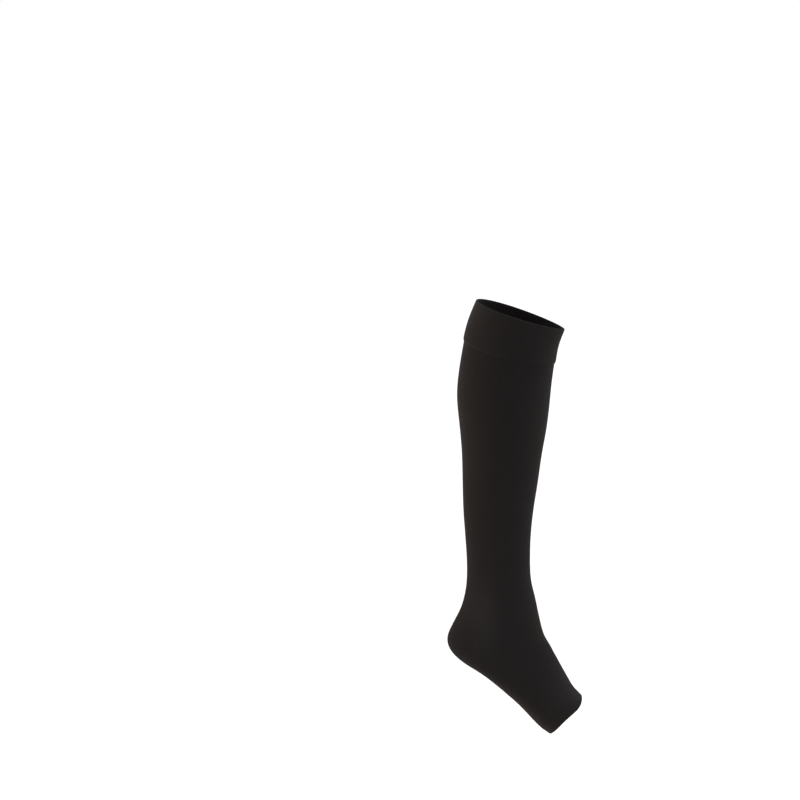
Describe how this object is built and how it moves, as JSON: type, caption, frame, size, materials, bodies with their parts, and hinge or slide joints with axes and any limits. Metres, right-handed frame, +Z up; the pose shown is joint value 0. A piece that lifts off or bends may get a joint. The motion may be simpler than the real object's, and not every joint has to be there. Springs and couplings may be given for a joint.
{
  "type": "compression stocking",
  "caption": "Open-toe, knee-high compression stocking in black knit, hollow, in the form of a right leg with its heel lifted, with a turned-in top band.",
  "frame": {"origin": "middle of the top band, on the axis of the leg that it grips below the knee", "axes": "+Z up, towards the knee; +X forwards, towards the toes; +Y towards the inner side of the leg"},
  "size_m": [0.1629, 0.1144, 0.5212],
  "materials": {
    "leg_knit": "fine smooth knit, matt with a soft sheen",
    "band_knit": "fine smooth knit, turned in, matt with a soft sheen"
  },
  "bodies": {
    "root": {"knit_tube": "leg_knit", "top_band": "band_knit"}
  },
  "joints": []
}
